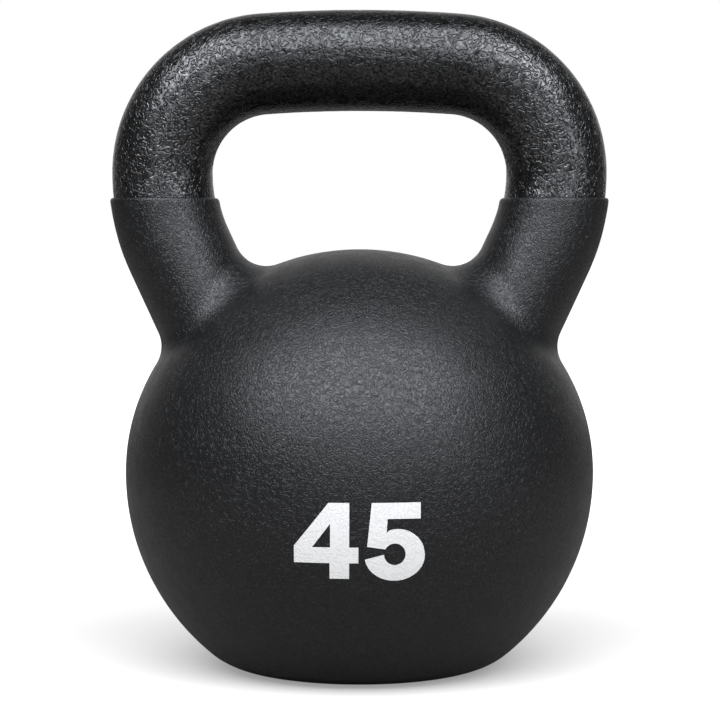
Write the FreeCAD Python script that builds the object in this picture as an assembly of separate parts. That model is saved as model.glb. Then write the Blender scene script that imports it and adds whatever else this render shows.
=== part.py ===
import FreeCAD, Part
import math
import os

# 45 lb (20.4 kg) cast-iron kettlebell with a vinyl-dipped bell, in millimetres, with +Z up.
# The origin is the middle of the flat underside. The handle spans the bell along X, and the front
# faces -Y and has the same shape as the back.
# Bell and handle are one iron casting. The dip-moulded vinyl jacket covers the bell and the lower
# end of both horns, up to a level dip line. Above it a thin enamel coats the handle.

# Iron bell: a ball with a flatter crown and a flat base, turned from tangent arcs
BELL_R = 85.5  # ball, at its widest level
BELL_WIDEST_Z = 72.5  # that level, above the ground
CROWN_RISE = 81.3  # from the widest level up to the top of the bell
SHOULDER_SWEEP = 29.9  # angle of the shoulder arc between ball and crown, in degrees
BASE_ROUND = 24.6  # round between the ball and the flat base

# Iron handle: a round grip on two horns that widen to front and back, sized by its centre line
GRIP_R = 18.4  # radius of the grip, and half the width of the horns
GRIP_ARCH_R = 502.0  # slight upward bow of the grip
CORNER_R = 40.5  # bends between the grip and the horns
HORN_X = 73.2  # where the horns stand upright, just under the corners
KNEE_R = 69.6  # bend of the horns towards the bell
HORN_LEAN = 24.75  # lean of the horns where they enter the bell, in degrees
HORN_FLARE = 9.0  # slope of the front and back of the horns, in degrees
FLARE_EASE = 3.0  # length over which that slope comes in, under the corners
HORN_BLEND = 13.6  # fillet between horn and bell
HAND_SPACE = 51.15  # open height between the jacketed crown and the coated grip

# Vinyl jacket
JACKET_WALL = 1.6
DIP_RISE = 18.9  # dip line above the jacketed crown
LIP_ROUND = 0.9  # outer edge of the two lips

# Enamel
ENAMEL_COAT = 0.25
ENAMEL_LAP = 4.0  # depth of enamel under the lips

ORIGIN = FreeCAD.Vector(0, 0, 0)
X_AXIS = FreeCAD.Vector(1, 0, 0)
Y_AXIS = FreeCAD.Vector(0, 1, 0)
Z_AXIS = FreeCAD.Vector(0, 0, 1)
UPRIGHT = math.pi / 2
TOUCHING = 0.01  # distance within which an edge lies on a surface or level
KNEE_SECTIONS = 12  # sections lofted over the bend of a horn
FOOT_SECTIONS = 6  # and over the straight below it

# Levels that follow from the sizes
CROWN_Z = BELL_WIDEST_Z + CROWN_RISE + JACKET_WALL
DIP_LINE_Z = CROWN_Z + DIP_RISE
GRIP_Z = CROWN_Z + HAND_SPACE + ENAMEL_COAT + GRIP_R
CORNER_SLOPE = math.asin((HORN_X - CORNER_R) / (GRIP_ARCH_R - CORNER_R))
HORN_TOP_Z = GRIP_Z - GRIP_ARCH_R + (GRIP_ARCH_R - CORNER_R) * math.cos(CORNER_SLOPE)
KNEE_SWEEP = math.radians(HORN_LEAN)
KNEE_RUN = KNEE_R * KNEE_SWEEP
FOOT_RUN = (HORN_TOP_Z - KNEE_R * math.sin(KNEE_SWEEP) - BELL_WIDEST_Z) / math.cos(KNEE_SWEEP)


def in_xz(x, z):
    """Point in the plane of the handle."""
    return FreeCAD.Vector(x, 0, z)


def in_yz(y, z):
    """Point in the plane of the bell's outline."""
    return FreeCAD.Vector(0, y, z)


def arc(centre, radius, start, end, across):
    """Arc in the upright plane through an axis. Angles run from that axis towards +Z."""
    angles = (start, (start + end) / 2, end)
    rays = [across * math.cos(angle) + Z_AXIS * math.sin(angle) for angle in angles]
    return Part.Arc(*[centre + ray * radius for ray in rays]).toShape()


def bell(skin):
    """Bell with its surface moved outwards by skin, on its flat base."""
    sweep = math.radians(SHOULDER_SWEEP)
    # The centres of shoulder and crown lie on the ray on which their arcs meet.
    apart = (BELL_R - CROWN_RISE) / (math.cos(sweep) + math.sin(sweep) - 1)
    belly_centre = in_yz(0, BELL_WIDEST_Z)
    shoulder_centre = belly_centre + Y_AXIS * math.cos(sweep) * apart
    crown_centre = belly_centre - Z_AXIS * math.sin(sweep) * apart
    crown_r = CROWN_RISE + math.sin(sweep) * apart
    shoulder_r = crown_r - apart
    round_centre_z = JACKET_WALL + BASE_ROUND
    round_drop = BELL_WIDEST_Z - round_centre_z
    round_centre = in_yz(math.sqrt((BELL_R - BASE_ROUND) ** 2 - round_drop**2), round_centre_z)
    belly_end = math.atan2(-round_drop, round_centre.y)

    crown = arc(crown_centre, crown_r + skin, UPRIGHT, sweep, Y_AXIS)
    shoulder = arc(shoulder_centre, shoulder_r + skin, sweep, 0, Y_AXIS)
    belly = arc(belly_centre, BELL_R + skin, 0, belly_end, Y_AXIS)
    corner = arc(round_centre, BASE_ROUND + skin, belly_end, -UPRIGHT, Y_AXIS)
    middle = in_yz(0, JACKET_WALL - skin)
    base = Part.makeLine(corner.Vertexes[-1].Point, middle)
    axis = Part.makeLine(middle, crown.Vertexes[0].Point)
    outline = Part.Wire([crown, shoulder, belly, corner, base, axis])
    return Part.Face(outline).revolve(ORIGIN, Z_AXIS, 360)


def slab_around(shape, above=-math.inf, below=math.inf):
    """Box with room around a shape, between two levels."""
    box = shape.BoundBox
    box.enlarge(JACKET_WALL)
    low, high = max(box.ZMin, above), min(box.ZMax, below)
    corner = FreeCAD.Vector(box.XMin, box.YMin, low)
    return Part.makeBox(box.XLength, box.YLength, high - low, corner)


def grip(skin):
    """Round bar of the grip and its two corners."""
    slopes = (UPRIGHT + CORNER_SLOPE, UPRIGHT - CORNER_SLOPE)
    arch = arc(in_xz(0, GRIP_Z - GRIP_ARCH_R), GRIP_ARCH_R, *slopes, X_AXIS)
    corner = arc(in_xz(HORN_X - CORNER_R, HORN_TOP_Z), CORNER_R, slopes[1], 0, X_AXIS)
    line = Part.Wire(Part.sortEdges([arch, corner, corner.mirror(ORIGIN, X_AXIS)])[0])
    section = Part.makeCircle(GRIP_R + skin, in_xz(-HORN_X, HORN_TOP_Z), Z_AXIS)
    return line.makePipe(Part.Face(Part.Wire(section)))


def horn_section(run, skin):
    """Oval across the right horn, at a run down its centre line from the corner."""
    lean = min(run, KNEE_RUN) / KNEE_R
    outward = X_AXIS * math.cos(lean) - Z_AXIS * math.sin(lean)
    down = -X_AXIS * math.sin(lean) - Z_AXIS * math.cos(lean)
    knee_centre = in_xz(HORN_X - KNEE_R, HORN_TOP_Z)
    middle = knee_centre + outward * KNEE_R + down * max(run - KNEE_RUN, 0)
    widening = math.tan(math.radians(HORN_FLARE)) * (math.hypot(run, FLARE_EASE) - FLARE_EASE)
    oval = Part.Ellipse(ORIGIN, GRIP_R + skin + widening, GRIP_R + skin).toShape()
    oval.Placement = FreeCAD.Placement(middle, FreeCAD.Rotation(Y_AXIS, outward, down, "XYZ"))
    return Part.Wire(oval)


def handle(skin):
    """Grip and horns, down into the bell, with their surface moved outwards by skin."""
    runs = [KNEE_RUN * i / KNEE_SECTIONS for i in range(KNEE_SECTIONS)]
    runs += [KNEE_RUN + FOOT_RUN * i / FOOT_SECTIONS for i in range(FOOT_SECTIONS + 1)]
    horn = Part.makeLoft([horn_section(run, skin) for run in runs], True)
    return grip(skin).fuse([horn, horn.mirror(ORIGIN, X_AXIS)])


def touches(edge, shape):
    """Whether the middle of an edge lies on the surface of a shape."""
    middle = edge.valueAt((edge.FirstParameter + edge.LastParameter) / 2)
    return shape.Shells[0].distToShape(Part.Vertex(middle))[0] < TOUCHING


def bell_and_handle(skin):
    """Bell and handle as one body with its surface moved outwards by skin."""
    ball = bell(skin)
    bar = handle(skin)
    body = ball.fuse(bar)
    joints = [edge for edge in body.Edges if touches(edge, ball) and touches(edge, bar)]
    return body.makeFillet(HORN_BLEND - skin, joints)


def handle_enamel():
    """Enamel sleeve over the handle, whose ends lie under the jacket's lips."""
    coat = handle(ENAMEL_COAT)
    sleeve = coat.common(slab_around(coat, above=DIP_LINE_Z - ENAMEL_LAP))
    return sleeve.cut(handle(0))


def vinyl_jacket(casting, enamel):
    """Closed vinyl skin around the bell, up to a rounded lip on each horn."""
    body = bell_and_handle(JACKET_WALL)
    dipped = body.common(slab_around(body, below=DIP_LINE_Z))
    lips = [edge for edge in dipped.Edges if abs(edge.CenterOfMass.z - DIP_LINE_Z) < TOUCHING]
    return dipped.makeFillet(LIP_ROUND, lips).cut([casting, enamel])


iron_casting = bell_and_handle(0)
enamel = handle_enamel()
parts = {
    "iron_casting": iron_casting,
    "vinyl_jacket": vinyl_jacket(iron_casting, enamel),
    "handle_enamel": enamel,
}

os.makedirs("parts", exist_ok=True)
for name, shape in parts.items():
    shape.exportStep(f"parts/{name}.step")
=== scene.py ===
import math

import bmesh
import bpy
import numpy as np
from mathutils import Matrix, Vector, noise
from mathutils.bvhtree import BVHTree


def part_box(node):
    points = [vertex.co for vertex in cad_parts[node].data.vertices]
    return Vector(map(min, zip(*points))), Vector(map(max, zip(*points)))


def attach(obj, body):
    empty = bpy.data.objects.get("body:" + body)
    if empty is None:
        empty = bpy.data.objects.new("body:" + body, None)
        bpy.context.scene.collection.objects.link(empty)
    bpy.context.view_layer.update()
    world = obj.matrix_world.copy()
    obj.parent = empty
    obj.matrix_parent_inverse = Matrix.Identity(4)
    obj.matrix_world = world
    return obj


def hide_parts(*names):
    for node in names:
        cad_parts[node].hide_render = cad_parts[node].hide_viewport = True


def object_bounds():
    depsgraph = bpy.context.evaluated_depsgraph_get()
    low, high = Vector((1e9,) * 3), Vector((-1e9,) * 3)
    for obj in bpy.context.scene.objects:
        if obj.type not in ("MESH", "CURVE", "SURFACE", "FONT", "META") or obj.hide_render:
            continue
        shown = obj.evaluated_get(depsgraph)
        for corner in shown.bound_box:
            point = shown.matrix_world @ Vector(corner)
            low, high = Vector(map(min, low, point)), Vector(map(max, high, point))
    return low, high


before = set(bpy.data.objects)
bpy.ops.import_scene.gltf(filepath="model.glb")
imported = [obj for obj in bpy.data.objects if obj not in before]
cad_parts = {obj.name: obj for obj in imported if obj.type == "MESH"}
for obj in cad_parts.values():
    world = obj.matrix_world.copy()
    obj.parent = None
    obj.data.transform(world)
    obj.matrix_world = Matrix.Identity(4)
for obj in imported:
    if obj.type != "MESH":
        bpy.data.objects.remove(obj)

# A 45 lb kettlebell: a cast-iron bell and handle, a dip-moulded vinyl jacket on the bell up to a
# level lip on each horn, a wrinkle-enamelled grip, and the printed number. Metres, +Z up, the
# front faces -Y.

# ---- Sizes ------------------------------------------------------------------------------------

MM = 0.001
_, Y, Z = np.eye(3)

# The parts of model.glb give these
cad_low, cad_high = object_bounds()
jacket_low, jacket_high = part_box("vinyl_jacket")
enamel_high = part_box("handle_enamel")[1]
iron_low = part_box("iron_casting")[0]
FLOOR_Z = jacket_low.z
DIP_LINE_Z = jacket_high.z
JACKET_WALL = iron_low.z - jacket_low.z
BELL_R = jacket_high.y - JACKET_WALL

# The construction's own sizes, which its boxes don't give
BELL_WIDEST_Z = 72.5 * MM
CROWN_RISE = 81.3 * MM
SHOULDER_SWEEP = math.radians(29.9)
BASE_ROUND = 24.6 * MM
GRIP_R = 18.4 * MM
ENAMEL_COAT = 0.25 * MM
ENAMEL_LAP = 4.0 * MM
GRIP_ARCH_R = 502.0 * MM
CORNER_R = 40.5 * MM
HORN_X = 73.2 * MM
KNEE_R = 69.6 * MM
HORN_LEAN = math.radians(24.75)
HORN_FLARE = math.radians(9)
FLARE_EASE = 3.0 * MM
HORN_BLEND = 13.6 * MM

# Lip of the jacket: a full outer roll and a small inner one against the enamel
LIP_ROLL_IN = 1.05 * MM
LIP_ROLL_DOWN = 1.3 * MM
LIP_GAP = 0.03 * MM

# What follows from them
COAT_R = GRIP_R + ENAMEL_COAT
LIP_OUTER_R = GRIP_R + JACKET_WALL
LIP_INNER_R = COAT_R + LIP_GAP
LIP_INNER_ROLL = LIP_OUTER_R - LIP_ROLL_IN - LIP_INNER_R
GRIP_Z = enamel_high.z - COAT_R
CORNER_SLOPE = math.asin((HORN_X - CORNER_R) / (GRIP_ARCH_R - CORNER_R))
HORN_TOP_Z = GRIP_Z - GRIP_ARCH_R + (GRIP_ARCH_R - CORNER_R) * math.cos(CORNER_SLOPE)
KNEE_CENTRE = np.array([HORN_X - KNEE_R, 0, HORN_TOP_Z])
CORNER_CENTRE = np.array([HORN_X - CORNER_R, 0, HORN_TOP_Z])
ARCH_CENTRE = np.array([0, 0, GRIP_Z - GRIP_ARCH_R])
KNEE_RUN = KNEE_R * HORN_LEAN
ARCH_RUN = GRIP_ARCH_R * CORNER_SLOPE
CORNER_RUN = CORNER_R * (math.pi / 2 - CORNER_SLOPE)
SLEEVE_END_Z = DIP_LINE_Z - ENAMEL_LAP
SOCKET_END_Z = SLEEVE_END_Z - LIP_GAP
BELL_CENTRE = BELL_WIDEST_Z * Z
# The centres of the shoulder's and the crown's arcs lie this far apart, on the ray on which the
# arcs meet.
APART = (BELL_R - CROWN_RISE) / (math.cos(SHOULDER_SWEEP) + math.sin(SHOULDER_SWEEP) - 1)
CROWN_R = CROWN_RISE + math.sin(SHOULDER_SWEEP) * APART
CROWN_CENTRE = BELL_CENTRE - Z * math.sin(SHOULDER_SWEEP) * APART
ROUND_DROP = BELL_WIDEST_Z - JACKET_WALL - BASE_ROUND
ROUND_OUT = math.sqrt((BELL_R - BASE_ROUND) ** 2 - ROUND_DROP**2)

# Mesh density: points round a ring, and rows of points down each stretch
AROUND_HORN = 256
AROUND_HALF_BELL = 146
AROUND_GRIP = 204
JACKET_ROWS = {"horn": 36, "blend": 15, "patch": 23, "lower": 100, "flat": 6}
HOLLOW_ROWS = {"horn": 9, "blend": 7, "patch": 8, "lower": 26, "flat": 3}
COAT_ROWS = {"grip": 337, "horn": 24}
BORE_ROWS = {"grip": 37, "horn": 3}
LIP_ROWS = 9
LIP_INNER_ROWS = 5
SOCKET_ROWS = 5
SPLIT_Z = 103 * MM  # level between the rings round the bell and the patches round the horns
WELD = 1e-6  # distance within which points are one
TINY = 1e-9  # keeps a division away from zero
HALVINGS = 50  # steps of a search that halves its range
OUTLINE_STEPS = 4000  # steps along the bell's outline when its rings are spaced

# Surface relief of the meshes
LIP_FADE_ROWS = 5  # rows under the lip over which it comes in
BASE_FADE = 4 * MM  # height above the floor over which it comes in
VINYL_WAVE, VINYL_WAVE_DEPTH = 26 * MM, 0.10 * MM
VINYL_PEBBLE, VINYL_PEBBLE_DEPTH = 6.5 * MM, 0.035 * MM
ENAMEL_LUMP, ENAMEL_LUMP_DEPTH = 9 * MM, 0.05 * MM
ENAMEL_CREASE, ENAMEL_CREASE_DEPTH = 2.4 * MM, 0.08 * MM
ENAMEL_BEND = 5 * MM
NOISE_SEED = 1  # sets the offsets of noise_vector, which would differ from run to run without it


# ---- Form of the casting ----------------------------------------------------------------------


def radial(angle):
    """Directions in the plane of the handle, from +X towards +Z."""
    angle = np.asarray(angle, float)
    return np.stack([np.cos(angle), np.zeros_like(angle), np.sin(angle)], axis=-1)


def unit(vectors):
    """Directions of vectors."""
    return vectors / np.linalg.norm(vectors, axis=-1, keepdims=True)


def slerp(start, end, share):
    """Directions on the great arcs between two sets of directions."""
    swing = np.arccos(np.clip((start * end).sum(-1, keepdims=True), -1, 1))
    return (np.sin((1 - share) * swing) * start + np.sin(share * swing) * end) / np.sin(swing)


def column(values):
    """Values with one more axis, so that they multiply points."""
    return np.asarray(values, float)[..., None]


def bell_points(directions, skin):
    """Points of the bell, grown by skin, in these directions from its centre."""
    rise = np.arctan2(directions[..., 2], np.hypot(directions[..., 0], directions[..., 1]))
    out, up = np.cos(rise), np.sin(rise)

    def reach(centre_out, centre_up, radius):
        """Distance along the directions to an arc of the outline."""
        along = centre_out * out + centre_up * up
        return along + np.sqrt(along**2 - centre_out**2 - centre_up**2 + (radius + skin) ** 2)

    lean_out, lean_up = math.cos(SHOULDER_SWEEP), math.sin(SHOULDER_SWEEP)
    base_drop = BELL_WIDEST_Z - JACKET_WALL + skin
    crown_edge = math.atan2(
        (CROWN_R + skin) * lean_up - APART * lean_up, (CROWN_R + skin) * lean_out
    )
    belly_edge = math.atan2(-ROUND_DROP, ROUND_OUT)
    base_edge = math.atan2(-base_drop, ROUND_OUT)
    distance = np.select(
        [rise >= crown_edge, rise >= 0, rise >= belly_edge, rise >= base_edge],
        [
            reach(0, -APART * lean_up, CROWN_R),
            reach(APART * lean_out, 0, CROWN_R - APART),
            np.full_like(rise, BELL_R + skin),
            reach(ROUND_OUT, -ROUND_DROP, BASE_ROUND),
        ],
        default=base_drop / np.maximum(-up, TINY),
    )
    return BELL_CENTRE + directions * column(distance)


def horn_points(run, turn, tube):
    """Points of the right horn, of half-width tube, at a run down its centre line and a turn."""
    run, turn = np.broadcast_arrays(run, turn)
    lean = np.minimum(run / KNEE_R, HORN_LEAN)
    outward, down = radial(-lean), -radial(math.pi / 2 - lean)
    middle = KNEE_CENTRE + KNEE_R * outward + column(np.maximum(run - KNEE_RUN, 0)) * down
    widening = math.tan(HORN_FLARE) * (np.hypot(run, FLARE_EASE) - FLARE_EASE)
    across = column(tube * np.cos(turn)) * outward
    return middle + across + column((tube + widening) * np.sin(turn)) * Y


def horn_normals(run, turn, tube):
    """Outward directions there, from neighbouring points."""
    step = 0.01 * MM
    down = horn_points(run + step, turn, tube) - horn_points(run - step, turn, tube)
    around = horn_points(run, turn + step, tube) - horn_points(run, turn - step, tube)
    return unit(np.cross(down, around))


def horn_run(level, turn, tube):
    """Run at which that line of the horn crosses a level, within the knee."""
    return KNEE_R * np.arcsin((HORN_TOP_Z - level) / (KNEE_R + tube * np.cos(turn)))


def horn_ring(level, turn, tube):
    """Ring of the horn at a level."""
    return horn_points(horn_run(level, turn, tube), turn, tube)


def blend_spine(turn, skin):
    """Centres of a ball that rolls between horn and bell, and the runs where it meets the horn."""
    tube, ball = GRIP_R + skin, HORN_BLEND - skin
    low, high = np.zeros_like(turn), np.full_like(turn, 2 * KNEE_RUN)
    for _ in range(HALVINGS):
        run = (low + high) / 2
        centre = horn_points(run, turn, tube) + ball * horn_normals(run, turn, tube)
        clear = np.linalg.norm(centre - CROWN_CENTRE, axis=-1) > CROWN_R + HORN_BLEND
        low, high = np.where(clear, run, low), np.where(clear, high, run)
    return centre, run


def blend_rows(turn, skin, count):
    """Rows of points over the blend, from the horn to the bell."""
    spine, run = blend_spine(turn, skin)
    to_horn = -horn_normals(run, turn, GRIP_R + skin)
    to_bell = unit(CROWN_CENTRE - spine)
    shares = np.linspace(0, 1, count)
    return np.array([spine + (HORN_BLEND - skin) * slerp(to_horn, to_bell, s) for s in shares])


def horn_rows(turn, start, skin, count):
    """Rows of points down a horn, from a run of each line to the edge of the blend."""
    _, end = blend_spine(turn, skin)
    shares = np.linspace(0, 1, count)
    return np.array([horn_points(start + (end - start) * s, turn, GRIP_R + skin) for s in shares])


# ---- Meshes -----------------------------------------------------------------------------------


class Skin:
    """Collects grids of points as quads, with how much of the surface texture each point takes."""

    def __init__(self):
        self.points, self.faces, self.relief = [], [], []
        self.size = 0

    def grid(self, rows, relief=0.0):
        """Quads between closed rings of points."""
        rows = np.asarray(rows)
        count, width = rows.shape[:2]
        ids = self.size + np.arange(count * width).reshape(count, width)
        ids = np.hstack([ids, ids[:, :1]])
        quads = np.stack([ids[:-1, :-1], ids[:-1, 1:], ids[1:, 1:], ids[1:, :-1]], -1)
        relief = np.broadcast_to(relief, (count, width))
        self._keep(rows.reshape(-1, 3), quads.reshape(-1, 4), relief)

    def fan(self, ring, centre):
        """Closes a flat ring with triangles."""
        ids = self.size + np.arange(len(ring))
        middle = np.full(len(ring), self.size + len(ring))
        triangles = np.stack([ids, np.roll(ids, -1), middle], -1)
        self._keep(np.vstack([ring, centre]), triangles, np.zeros(len(ring) + 1))

    def _keep(self, points, faces, relief):
        self.points.append(points)
        self.faces.extend(faces.tolist())
        self.relief.append(np.ravel(relief))
        self.size += len(points)

    def both_sides(self, rows, relief=0.0):
        """The grid and its mirror image across the middle of the kettlebell."""
        self.grid(rows, relief)
        self.grid(np.asarray(rows) * (-1, 1, 1), relief)

    def piece(self, name):
        """One smooth welded mesh object, with the relief kept on its points."""
        mesh = bpy.data.meshes.new(name)
        mesh.from_pydata(np.vstack(self.points), [], self.faces)
        kept = mesh.attributes.new("relief", "FLOAT", "POINT")
        kept.data.foreach_set("value", np.concatenate(self.relief))
        work = bmesh.new()
        work.from_mesh(mesh)
        bmesh.ops.remove_doubles(work, verts=work.verts, dist=WELD)
        bmesh.ops.recalc_face_normals(work, faces=work.faces)
        for face in work.faces:
            face.smooth = True
        work.to_mesh(mesh)
        work.free()
        item = bpy.data.objects.new(name, mesh)
        bpy.context.scene.collection.objects.link(item)
        return item


def sink(item, depth):
    """Moves each point of a mesh inwards by depth(point) times its relief."""
    mesh = item.data
    count = len(mesh.vertices)
    points, normals, relief = np.empty(count * 3), np.empty(count * 3), np.empty(count)
    mesh.vertices.foreach_get("co", points)
    mesh.vertex_normals.foreach_get("vector", normals)
    mesh.attributes["relief"].data.foreach_get("value", relief)
    points, normals = points.reshape(-1, 3), normals.reshape(-1, 3)
    depths = np.zeros(count)
    for i in np.flatnonzero(relief):
        depths[i] = relief[i] * depth(Vector(points[i]))
    points -= normals * depths[:, None]
    mesh.vertices.foreach_set("co", points.ravel())
    mesh.update()


def share_of(value, low, high):
    """0 up to low, 1 from high, and smooth between them."""
    share = np.clip((value - low) / (high - low), 0, 1)
    return share * share * (3 - 2 * share)


# ---- Vinyl jacket -----------------------------------------------------------------------------


def turns(count):
    """Angles round a ring of count points."""
    return np.arange(count) * (2 * math.pi / count)


def split_rise(skin):
    """Elevation, from the bell's centre, at which its surface crosses the split level."""
    low, high = 0.0, math.pi / 3
    for _ in range(HALVINGS):
        middle = (low + high) / 2
        if bell_points(radial(middle), skin)[2] < SPLIT_Z:
            low = middle
        else:
            high = middle
    return low


def split_ring(skin):
    """Directions of the split level on the right half, from the front over +X to the back."""
    around = np.linspace(-math.pi / 2, math.pi / 2, AROUND_HALF_BELL + 1)
    flat = np.stack([np.cos(around), np.sin(around), np.zeros_like(around)], -1)
    rise = split_rise(skin)
    return math.cos(rise) * flat + math.sin(rise) * Z


def patch_edge(skin):
    """Directions of the outer edge of the patch round a horn, one for each line of the horn."""
    ring = split_ring(skin)
    over = AROUND_HORN - AROUND_HALF_BELL
    rise = split_rise(skin)
    sweep = np.linspace(rise, math.pi - rise, over + 1)
    crest = np.stack([np.zeros_like(sweep), np.cos(sweep), np.sin(sweep)], -1)
    half = AROUND_HALF_BELL // 2
    return np.vstack([ring[half:], crest[1:-1], ring[:half]])


def patch_rows(turn, skin, count):
    """Rows of points over the bell, from the blend to the bell's middle and the split level."""
    spine, _ = blend_spine(turn, skin)
    inner = CROWN_CENTRE + (CROWN_R + skin) * unit(spine - CROWN_CENTRE)
    start = unit(inner - BELL_CENTRE)
    edge = patch_edge(skin)
    rows = [bell_points(slerp(start, edge, share), skin) for share in np.linspace(0, 1, count)]
    rows[0] = inner
    return np.array(rows)


def lower_rows(skin, count, flat_count):
    """Rings from the split level down to the flat base, and inwards on it."""
    base_rise = math.atan2(-(BELL_WIDEST_Z - JACKET_WALL + skin), ROUND_OUT)
    tries = np.linspace(split_rise(skin), base_rise, OUTLINE_STEPS)
    outline = bell_points(radial(tries), skin)
    runs = np.concatenate([[0], np.cumsum(np.linalg.norm(np.diff(outline, axis=0), axis=1))])
    rises = np.interp(np.linspace(0, runs[-1], count), runs, tries)
    half = unit(split_ring(skin) * (1, 1, 0))
    around = np.vstack([half, half[-2:0:-1] * (-1, 1, 1)])
    rows = [bell_points(math.cos(rise) * around + math.sin(rise) * Z, skin) for rise in rises]
    for share in np.linspace(1, 0, flat_count + 2)[1:-1]:
        rows.append(rows[count - 1] * (share, share, 1))
    return np.array(rows)


def lip_rings(turn):
    """Rings over the rolled lip, from the outside of the horn in to the enamel."""
    rings = []
    for sweep in np.linspace(0, math.pi / 2, LIP_ROWS):
        tube = LIP_OUTER_R - LIP_ROLL_IN * (1 - math.cos(sweep))
        level = DIP_LINE_Z - LIP_ROLL_DOWN * (1 - math.sin(sweep))
        rings.append(horn_ring(level, turn, tube))
    for sweep in np.linspace(0, math.pi / 2, LIP_INNER_ROWS)[1:]:
        tube = LIP_INNER_R + LIP_INNER_ROLL * (1 - math.sin(sweep))
        level = DIP_LINE_Z - LIP_INNER_ROLL * (1 - math.cos(sweep))
        rings.append(horn_ring(level, turn, tube))
    return np.array(rings)


def socket_rings(turn):
    """Rings inside the jacket from the lip down the enamel, to its end and in to the iron."""
    levels = np.linspace(DIP_LINE_Z - LIP_INNER_ROLL, SOCKET_END_Z, SOCKET_ROWS)
    rings = [horn_ring(level, turn, LIP_INNER_R) for level in levels]
    return np.array([*rings, horn_ring(SOCKET_END_Z, turn, GRIP_R)])


def add_form(mesh, turn, start, skin, rows, relief):
    """Adds the casting's form grown by skin, from a run of each line of the horns to the base."""
    fade = share_of(np.arange(rows["horn"]), 0, LIP_FADE_ROWS)[:, None]
    mesh.both_sides(horn_rows(turn, start, skin, rows["horn"]), relief * fade)
    mesh.both_sides(blend_rows(turn, skin, rows["blend"]), relief)
    mesh.both_sides(patch_rows(turn, skin, rows["patch"]), relief)
    lower = lower_rows(skin, rows["lower"], rows["flat"])
    mesh.grid(lower, relief * share_of(lower[..., 2], FLOOR_Z, FLOOR_Z + BASE_FADE))
    mesh.fan(lower[-1], (FLOOR_Z + JACKET_WALL - skin) * Z)


def vinyl_jacket():
    """Closed skin round the bell and the lower horns."""
    turn = turns(AROUND_HORN)
    mesh = Skin()
    mesh.both_sides(lip_rings(turn))
    lip_foot = horn_run(DIP_LINE_Z - LIP_ROLL_DOWN, turn, LIP_OUTER_R)
    add_form(mesh, turn, lip_foot, JACKET_WALL, JACKET_ROWS, relief=1)
    mesh.both_sides(socket_rings(turn))
    add_form(mesh, turn, horn_run(SOCKET_END_Z, turn, GRIP_R), 0, HOLLOW_ROWS, relief=0)
    return mesh.piece("jacket_skin")


def swell(point, size):
    """Noise between 0 and 1, of a size."""
    return noise.noise(point / size) * 0.5 + 0.5


def vinyl_relief(point):
    """Slow waves left by the dip, with a fainter pebbling."""
    waves, pebbles = swell(point, VINYL_WAVE), swell(point, VINYL_PEBBLE)
    return VINYL_WAVE_DEPTH * waves + VINYL_PEBBLE_DEPTH * pebbles


# ---- Enamel sleeve ----------------------------------------------------------------------------


def grip_ring(run, turn, tube):
    """Ring of a bar of radius tube round the grip or a corner, at a run from the middle."""
    if abs(run) <= ARCH_RUN:
        centre, bend = ARCH_CENTRE, GRIP_ARCH_R
        angle = math.pi / 2 - abs(run) / GRIP_ARCH_R
    else:
        centre, bend = CORNER_CENTRE, CORNER_R
        angle = (ARCH_RUN + CORNER_RUN - abs(run)) / CORNER_R
    outward = column(bend + tube * np.cos(turn)) * radial(angle)
    ring = centre + outward + column(tube * np.sin(turn)) * Y
    return ring * (math.copysign(1, run), 1, 1)


def sleeve_rows(tube, rows):
    """Rings of the sleeve from its end on the left horn to its end on the right one."""
    turn = turns(AROUND_GRIP)
    end = horn_run(SLEEVE_END_Z, turn, tube)
    shares = np.linspace(0, 1, rows["horn"] + 1)[1:]
    horn = np.array([horn_points(end * share, turn, tube) for share in shares])
    half = ARCH_RUN + CORNER_RUN
    grip = [grip_ring(run, turn, tube) for run in np.linspace(-half, half, rows["grip"])]
    return np.vstack([horn[::-1] * (-1, 1, 1), grip, horn])


def enamel_sleeve():
    """Closed sleeve of enamel over the handle, with its ends under the lips."""
    mesh = Skin()
    outer = sleeve_rows(COAT_R, COAT_ROWS)
    inner = sleeve_rows(GRIP_R, BORE_ROWS)
    mesh.grid(outer, 1)
    mesh.grid(inner)
    for end in (0, -1):
        mesh.grid([outer[end], inner[end]])
    return mesh.piece("enamel_sleeve")


def enamel_relief(point):
    """Wrinkles and lumps of the sprayed enamel."""
    bend = noise.noise_vector(point / ENAMEL_BEND) * 0.5
    creases = abs(noise.noise(point / ENAMEL_CREASE + bend))
    return ENAMEL_LUMP_DEPTH * swell(point, ENAMEL_LUMP) + ENAMEL_CREASE_DEPTH * creases


# ---- Printed number ---------------------------------------------------------------------------

# Sizes of the digits in millimetres, as in their outlines
CAP_HEIGHT = 26.3
FOUR_WIDTH = 21.8
FIVE_WIDTH = 20.2
DIGIT_GAP = 2.3

NUMBER_TOP_Z = BELL_WIDEST_Z - 2.2 * MM
NUMBER_BASE_Z = NUMBER_TOP_Z - CAP_HEIGHT * MM
INK = 0.07 * MM
INK_RISE = 0.45 * INK  # from the vinyl to the middle of the ink
INK_CELL = 1.5 * MM
RAY_START_Y = cad_low.y - 50 * MM  # in front of the kettlebell


def oval(centre_x, centre_z, radius_x, radius_z, start, end, steps=28):
    """Points on part of an oval, between two angles in degrees."""
    angles = np.radians(np.linspace(start, end, steps))
    return [(centre_x + radius_x * math.cos(a), centre_z + radius_z * math.sin(a)) for a in angles]


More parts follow.
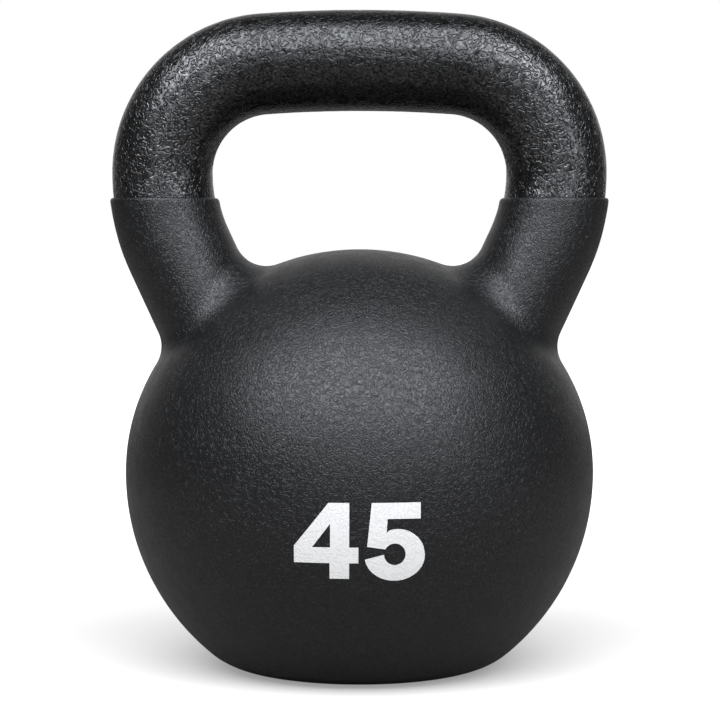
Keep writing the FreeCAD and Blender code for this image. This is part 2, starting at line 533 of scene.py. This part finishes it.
# Outlines of a heavy grotesque, in millimetres from the baseline
FOUR = [
    [
        (11.7, CAP_HEIGHT), (18.75, CAP_HEIGHT), (18.7, 11.0), (FOUR_WIDTH, 11.0),
        (FOUR_WIDTH, 5.5), (18.7, 5.5), (18.65, 0), (12.05, 0), (12.05, 5.5), (0, 5.55), (0, 11.4),
    ],
    [(12.3, 19.2), (6.15, 11.0), (12.25, 11.0)],
]
FIVE = [
    [(2.2, CAP_HEIGHT), (18.7, CAP_HEIGHT), (18.7, 20.8), (7.55, 20.8), (7.2, 16.1)]
    + oval(10.9, 8.25, FIVE_WIDTH - 10.9, 9.05, 106, 20)
    + oval(10.0, 8.0, FIVE_WIDTH - 10.0, 8.8, 15, -172)
    + [(6.2, 8.4)]
    + oval(10.0, 8.55, 3.65, 3.8, -176, 152)
    + [(0.65, 11.25)],
]


def flat_digit(name, outline, left):
    """Mesh of a thin flat solid of a digit."""
    curve = bpy.data.curves.new(name, "CURVE")
    curve.dimensions = "2D"
    curve.fill_mode = "BOTH"
    curve.extrude = INK / 2
    for loop in outline:
        line = curve.splines.new("POLY")
        line.points.add(len(loop) - 1)
        for point, (x, z) in zip(line.points, loop):
            point.co = ((left + x) * MM, NUMBER_BASE_Z + z * MM, 0, 1)
        line.use_cyclic_u = True
    item = bpy.data.objects.new(name, curve)
    bpy.context.scene.collection.objects.link(item)
    bpy.context.view_layer.update()
    mesh = bpy.data.meshes.new_from_object(item)
    bpy.data.objects.remove(item)
    return mesh


def cut_in_cells(work, axis):
    """Cuts a mesh by planes across an axis, so that it can bend."""
    places = [vert.co[axis] for vert in work.verts]
    normal = Vector(np.eye(3)[axis])
    for place in np.arange(min(places) + INK_CELL, max(places), INK_CELL):
        every = [*work.verts, *work.edges, *work.faces]
        spot = normal * place
        bmesh.ops.bisect_plane(work, geom=every, dist=WELD / 10, plane_co=spot, plane_no=normal)


def printed_digit(name, outline, left, jacket):
    """A digit of ink that follows the jacket, a little proud of it."""
    mesh = flat_digit(name, outline, left)
    work = bmesh.new()
    work.from_mesh(mesh)
    bmesh.ops.remove_doubles(work, verts=work.verts, dist=WELD)
    for axis in (0, 1):
        cut_in_cells(work, axis)
    bmesh.ops.recalc_face_normals(work, faces=work.faces)
    facing = [round(face.normal.z) for face in work.faces]
    surface = BVHTree.FromObject(jacket, bpy.context.evaluated_depsgraph_get())
    for vert in work.verts:
        x, z, layer = vert.co
        place, normal, _, _ = surface.ray_cast(Vector((x, RAY_START_Y, z)), Vector(Y))
        vert.co = place + normal * (layer + INK_RISE)
    for face in work.faces:
        face.smooth = True
    work.to_mesh(mesh)
    work.free()
    shade_as_ball(mesh, facing)
    item = bpy.data.objects.new(name, mesh)
    bpy.context.scene.collection.objects.link(item)
    return item


def shade_as_ball(mesh, facing):
    """Gives the front and back of a digit the ball's own normals, and its rim flat ones."""
    centre = Vector(BELL_CENTRE)
    normals = []
    for face, side in zip(mesh.polygons, facing):
        for index in face.vertices:
            outward = (mesh.vertices[index].co - centre).normalized()
            normals.append(outward * side if side else face.normal)
    mesh.normals_split_custom_set(normals)


# ---- Materials --------------------------------------------------------------------------------

WRINKLE_LEVELS = 4.6  # levels of the noise that turn into lines
WRINKLE_WARP = 0.6
WORN_HALF = 36 * MM  # half of the length of grip that hands keep smooth
WORN_END = 66 * MM  # distance from the middle at which the wrinkles are at their full depth

VINYL_DARK = (0.0030, 0.0030, 0.0032)
VINYL_PALE = (0.0050, 0.0050, 0.0053)
VINYL_STAIN = (0.0025, 0.0025, 0.0027)
ENAMEL_DARK = (0.0010, 0.0010, 0.0011)
ENAMEL_PALE = (0.0020, 0.0020, 0.0021)
# The ink's colour in the grooves of its grain is a painted shade of its colour on top.
INK_GROOVE_PAINTED_SHADE = (0.51, 0.505, 0.495)
INK_ON_TOP = (0.545, 0.54, 0.53)
INK_SPECK = (0.50, 0.49, 0.48)
IRON_DARK = (0.10, 0.10, 0.105)
IRON_PALE = (0.22, 0.215, 0.21)


class Nodes:
    """Short calls for the nodes of a material or of the world."""

    def __init__(self, tree):
        self.tree = tree

    def connect(self, socket, value):
        """Links a socket to another, or sets it to a number or a colour."""
        if isinstance(value, bpy.types.NodeSocket):
            self.tree.links.new(value, socket)
        elif isinstance(value, tuple):
            socket.default_value = (*value, 1)
        else:
            socket.default_value = value

    def node(self, kind, settings=(), **inputs):
        """A new node, with its settings and with its inputs by name."""
        made = self.tree.nodes.new(kind)
        for key, value in dict(settings).items():
            setattr(made, key, value)
        for key, value in inputs.items():
            self.connect(made.inputs[key.replace("_", " ")], value)
        return made

    def math(self, operation, first, second=0.0):
        made = self.node("ShaderNodeMath", {"operation": operation})
        self.connect(made.inputs[0], first)
        self.connect(made.inputs[1], second)
        return made.outputs[0]

    def span(self, value, low, high, to_low=0.0, to_high=1.0, curve="LINEAR"):
        """A value carried from one range over to another, and kept inside it."""
        ends = {"From_Min": low, "From_Max": high, "To_Min": to_low, "To_Max": to_high}
        made = self.node("ShaderNodeMapRange", {"interpolation_type": curve}, Value=value, **ends)
        return made.outputs["Result"]

    def seen(self, rays):
        """1 for what the camera sees, also through something clear, and 0 for other rays."""
        return self.math("MAXIMUM", rays["Is Camera Ray"], rays["Is Transmission Ray"])


class Finish(Nodes):
    """A material whose textures lie in the kettlebell's own frame."""

    def __init__(self, name):
        self.material = bpy.data.materials.new(name)
        self.material.use_nodes = True
        super().__init__(self.material.node_tree)
        self.place = self.node("ShaderNodeTexCoord").outputs["Object"]

    def noise(self, size, detail=2.0, distortion=0.0):
        """Noise whose features are about size metres apart."""
        pattern = {"Scale": 1 / size, "Detail": detail, "Distortion": distortion}
        return self.node("ShaderNodeTexNoise", Vector=self.place, **pattern).outputs["Fac"]

    def wrinkles(self, size, width):
        """Winding lines along the levels of a warped noise: 0 on the lines, 1 from width away."""
        level = self.noise(size, detail=1.0, distortion=WRINKLE_WARP)
        off = self.math("PINGPONG", self.math("MULTIPLY", level, WRINKLE_LEVELS), 0.5)
        return self.span(off, 0.0, width, curve="SMOOTHSTEP")

    def between(self, share, low, high):
        """A number that goes from low to high as the share goes from 0 to 1."""
        return self.span(share, 0.0, 1.0, low, high)

    def blend(self, share, first, second):
        """A colour between two."""
        made = self.node("ShaderNodeMix", {"data_type": "RGBA"}, Factor=share)
        # Its sockets for numbers, vectors and colours share their names, so colours go by place.
        self.connect(made.inputs[6], first)
        self.connect(made.inputs[7], second)
        return made.outputs[2]

    def bump(self, height, depth, strength=1.0, under=None):
        """Normals bent by a height, on top of those of another bump."""
        made = self.node("ShaderNodeBump", Height=height, Distance=depth, Strength=strength)
        if under is not None:
            self.connect(made.inputs["Normal"], under)
        return made.outputs["Normal"]

    def drive(self, **inputs):
        """Links or sets the shader's own sockets."""
        shader = self.tree.nodes["Principled BSDF"]
        for key, value in inputs.items():
            self.connect(shader.inputs[key.replace("_", " ")], value)


def vinyl_finish():
    """Matt charcoal vinyl with a fine leathery grain and a few glints."""
    look = Finish("black_vinyl")
    grain = look.wrinkles(size=1.9 * MM, width=0.36)
    sparks = look.noise(size=0.6 * MM, detail=0.0)
    glints = look.span(sparks, 0.60, 0.75, to_low=1.0, to_high=1.7)
    dapple = look.noise(size=7 * MM, detail=3.0)
    patches = look.noise(size=40 * MM)
    colour = look.blend(patches, VINYL_DARK, VINYL_PALE)
    stain = look.span(dapple, 0.35, 0.65, to_high=0.45)
    colour = look.blend(stain, colour, VINYL_STAIN)
    relief = look.bump(dapple, depth=0.20 * MM, strength=0.4)
    relief = look.bump(grain, depth=0.085 * MM, under=relief)
    gloss = look.math("MULTIPLY", look.between(grain, 0.33, 0.425), glints)
    rough = look.span(dapple, 0.3, 0.7, to_low=0.36, to_high=0.43)
    look.drive(Base_Color=colour, Roughness=rough, Specular_IOR_Level=gloss, Normal=relief)
    return look.material


def enamel_finish():
    """Glossy black wrinkle enamel, with shallower wrinkles along the middle of the grip."""
    look = Finish("black_enamel")
    across = look.node("ShaderNodeSeparateXYZ", Vector=look.place).outputs["X"]
    fresh = look.span(look.math("ABSOLUTE", across), WORN_HALF, WORN_END)
    worms = look.wrinkles(size=2.8 * MM, width=0.30)
    lumps = look.noise(size=3.5 * MM)
    sparks = look.noise(size=0.9 * MM, detail=0.0)
    glints = look.span(sparks, 0.5, 0.72)
    patches = look.noise(size=30 * MM)
    colour = look.blend(patches, ENAMEL_DARK, ENAMEL_PALE)
    relief = look.bump(lumps, depth=0.28 * MM, strength=look.between(fresh, 0.7, 0.6))
    worm_strength = look.between(fresh, 0.55, 1.0)
    relief = look.bump(worms, depth=0.17 * MM, strength=worm_strength, under=relief)
    plateau = look.between(fresh, 0.51, 0.77)
    groove = look.between(fresh, 0.17, 0.30)
    gloss = look.math("MULTIPLY", worms, look.math("SUBTRACT", plateau, groove))
    gloss = look.math("ADD", groove, gloss)
    glints = look.math("MULTIPLY", glints, look.between(fresh, 0.8, 1.2))
    gloss = look.math("MULTIPLY", gloss, look.math("ADD", glints, 0.9))
    rough = look.span(lumps, 0.3, 0.7, to_low=0.20, to_high=0.31)
    look.drive(Base_Color=colour, Roughness=rough, Specular_IOR_Level=gloss, Normal=relief)
    return look.material


def print_finish():
    """White screen ink with a faint grain, and painted shade in the grooves of that grain."""
    look = Finish("white_print")
    grain = look.wrinkles(size=2.7 * MM, width=0.36)
    specks = look.span(look.noise(size=0.6 * MM), 0.66, 0.8, to_high=0.4)
    # Darker ink along the grooves of the grain is painted shade.
    colour = look.blend(grain, INK_GROOVE_PAINTED_SHADE, INK_ON_TOP)
    colour = look.blend(specks, colour, INK_SPECK)
    relief = look.bump(grain, depth=0.07 * MM, strength=0.8)
    look.drive(Base_Color=colour, Roughness=0.55, Specular_IOR_Level=0.3, Normal=relief)
    return look.material


def iron_finish():
    """Sand-cast grey iron."""
    look = Finish("grey_iron")
    sand = look.noise(size=0.8 * MM, detail=4.0)
    scale = look.noise(size=18 * MM, detail=3.0)
    colour = look.blend(scale, IRON_DARK, IRON_PALE)
    relief = look.bump(sand, depth=0.25 * MM, strength=0.8)
    rough = look.span(sand, 0.3, 0.7, to_low=0.5, to_high=0.8)
    look.drive(Base_Color=colour, Roughness=rough, Metallic=0.8, Normal=relief)
    return look.material


# ---- Studio -----------------------------------------------------------------------------------

EYE = Vector((0.2 * MM, -839 * MM, 156 * MM))
PITCH = 0.05  # downwards, in radians
LENS = 112.5  # mm, on Blender's sensor of 36 mm

FLOOR_HALF = 30.0  # half of its side
FLOOR_GAP = 0.02 * MM  # under the kettlebell, so that no two faces lie in one plane
FLOOR_PALE = 0.55  # brightness of the floor for the camera,
FLOOR_BOUNCE = 0.45  # for the diffuse light that it throws on the object,
FLOOR_SHINE = 0.205  # and for reflections in the object
FLOOR_TINT = (1.04, 1.0, 0.955)  # evens out the cool lamps
FLOOR_LIFT = 0.28  # own light of the floor near the object, which keeps its shadow soft
FADE_START = 0.25  # distances over which that light rises to the backdrop's white
FADE_END = 0.7

BACKDROP_SHINE = 0.85  # backdrop behind the kettlebell, in reflections
BACKDROP_EDGE = 0.6  # share of +Y in the directions at which it starts
BACKDROP_FULL = 1.0  # and at which it is at its full brightness
ROOM_SHINE = 0.085  # the rest of the room, in reflections
ROOM_LIGHT = 0.35  # diffuse light from all round

LAMP_AIM = Vector((0, 0, 0.12))
LAMP_DISTANCE = 1.5
LAMP_COLOUR = (0.95, 0.99, 1.06)
# A wide softbox high in front, and a weak low one a little to the right. Right and up are angles
# in degrees, to the right of the front and above the level of the aim.
LAMPS = {
    "key": {"right": 0, "up": 55, "width": 3.0, "height": 1.4, "radiance": 5.9},
    "fill": {"right": 20, "up": 12, "width": 3.2, "height": 0.35, "radiance": 2.1},
}


def floor_finish():
    """Pale floor that keeps the shadow near the object and fades to the backdrop's white."""
    look = Finish("studio_floor")
    rays = look.node("ShaderNodeLightPath").outputs
    shine, bounce, pale = [
        tuple(level * share for share in FLOOR_TINT)
        for level in (FLOOR_SHINE, FLOOR_BOUNCE, FLOOR_PALE)
    ]
    seen = look.seen(rays)
    colour = look.blend(seen, look.blend(rays["Is Diffuse Ray"], shine, bounce), pale)
    away = look.node("ShaderNodeVectorMath", {"operation": "LENGTH"}, Vector=look.place)
    lift = look.span(away.outputs["Value"], FADE_START, FADE_END, FLOOR_LIFT, 1.0, "SMOOTHSTEP")
    glow = look.math("MULTIPLY", seen, lift)
    look.drive(Base_Color=colour, Roughness=0.9, Specular_IOR_Level=0.0)
    look.drive(Emission_Color=(1, 1, 1), Emission_Strength=glow)
    return look.material


def studio_floor():
    """Flat square round the kettlebell's foot."""
    mesh = bpy.data.meshes.new("studio_floor")
    corners = np.array([(-1, -1), (1, -1), (1, 1), (-1, 1)]) * FLOOR_HALF
    mesh.from_pydata([(x, y, FLOOR_Z - FLOOR_GAP) for x, y in corners], [], [(0, 1, 2, 3)])
    mesh.materials.append(floor_finish())
    item = bpy.data.objects.new("studio_floor", mesh)
    bpy.context.scene.collection.objects.link(item)


def studio_world():
    """White for the camera. The object sees a backdrop behind it and a dim room all round."""
    world = bpy.data.worlds.new("studio")
    world.use_nodes = True
    bpy.context.scene.world = world
    look = Nodes(world.node_tree)
    rays = look.node("ShaderNodeLightPath").outputs
    place = look.node("ShaderNodeTexCoord").outputs["Generated"]
    toward = look.node("ShaderNodeSeparateXYZ", Vector=place).outputs["Y"]
    shine = look.span(
        toward, BACKDROP_EDGE, BACKDROP_FULL, ROOM_SHINE, BACKDROP_SHINE, "SMOOTHSTEP"
    )
    reflected = look.math("MULTIPLY", rays["Is Glossy Ray"], shine)
    diffuse = look.math("MULTIPLY", rays["Is Diffuse Ray"], ROOM_LIGHT)
    strength = look.math("MAXIMUM", look.seen(rays), look.math("MAXIMUM", reflected, diffuse))
    ground = world.node_tree.nodes["Background"]
    look.connect(ground.inputs["Color"], (1, 1, 1))
    look.connect(ground.inputs["Strength"], strength)


def softbox(name, right, up, width, height, radiance):
    """Area lamp of an even radiance, turned to its aim."""
    right, up = math.radians(right), math.radians(up)
    out = math.cos(up)
    toward = Vector((math.sin(right) * out, -math.cos(right) * out, math.sin(up)))
    place = LAMP_AIM + LAMP_DISTANCE * toward
    data = bpy.data.lights.new(name, "AREA")
    data.shape = "RECTANGLE"
    data.size, data.size_y = width, height
    data.energy = radiance * math.pi * width * height
    data.color = LAMP_COLOUR
    item = bpy.data.objects.new(name, data)
    item.location = place
    item.rotation_euler = (LAMP_AIM - place).to_track_quat("-Z", "Y").to_euler()
    bpy.context.scene.collection.objects.link(item)


def studio_camera():
    """Camera at the place fitted to the photo."""
    data = bpy.data.cameras.new("camera")
    data.lens = LENS
    item = bpy.data.objects.new("camera", data)
    item.location = EYE
    item.rotation_euler = (math.pi / 2 - PITCH, 0, 0)
    bpy.context.scene.collection.objects.link(item)
    bpy.context.scene.camera = item


# ---- Assembly ---------------------------------------------------------------------------------

noise.seed_set(NOISE_SEED)
jacket = vinyl_jacket()
sink(jacket, vinyl_relief)
sleeve = enamel_sleeve()
sink(sleeve, enamel_relief)
number_left = -(FOUR_WIDTH + DIGIT_GAP + FIVE_WIDTH) / 2
numerals = [
    printed_digit("numeral_4", FOUR, number_left, jacket),
    printed_digit("numeral_5", FIVE, number_left + FOUR_WIDTH + DIGIT_GAP, jacket),
]

ink = print_finish()
finishes = [(jacket, vinyl_finish()), (sleeve, enamel_finish())]
for item, finish in finishes + [(numeral, ink) for numeral in numerals]:
    item.data.materials.append(finish)
    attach(item, "root")
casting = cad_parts["iron_casting"]
casting.data.materials.clear()
casting.data.materials.append(iron_finish())

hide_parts("vinyl_jacket")
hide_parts("handle_enamel")

studio_floor()
studio_world()
for name, lamp in LAMPS.items():
    softbox(name, **lamp)
studio_camera()
bpy.context.scene.view_settings.view_transform = "Standard"
